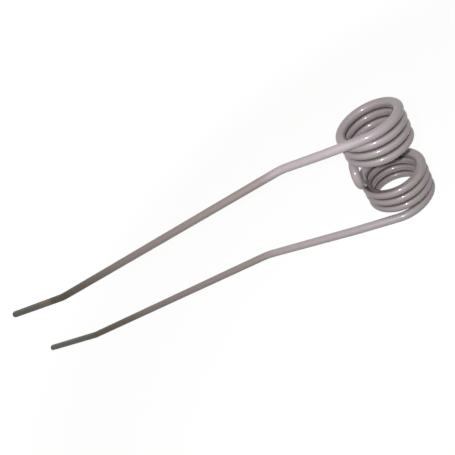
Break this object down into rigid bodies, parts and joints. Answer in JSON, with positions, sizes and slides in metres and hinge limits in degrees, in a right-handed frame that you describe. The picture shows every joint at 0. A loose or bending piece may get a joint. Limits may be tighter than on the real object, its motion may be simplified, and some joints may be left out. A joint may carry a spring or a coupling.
{
  "type": "rake tine",
  "caption": "Twin spring tine for a hay rake: a long and a short tine of round wire, each on its own coil, joined by a narrow U-shaped fixing loop.",
  "frame": {"origin": "on the common axis of both coils, in the middle plane of the fixing loop", "axes": "+Z along the coil axis towards the coil of the short tine, +X from the coils towards the tine tips, +Y towards the side that the tines bend to and the fixing loop points to"},
  "size_m": [0.6287, 0.1453, 0.1169],
  "materials": {
    "grey_paint": "semi-gloss grey paint, duller and dirtier towards the tips"
  },
  "bodies": {
    "root": {"spring_tine": "grey_paint"}
  },
  "joints": []
}
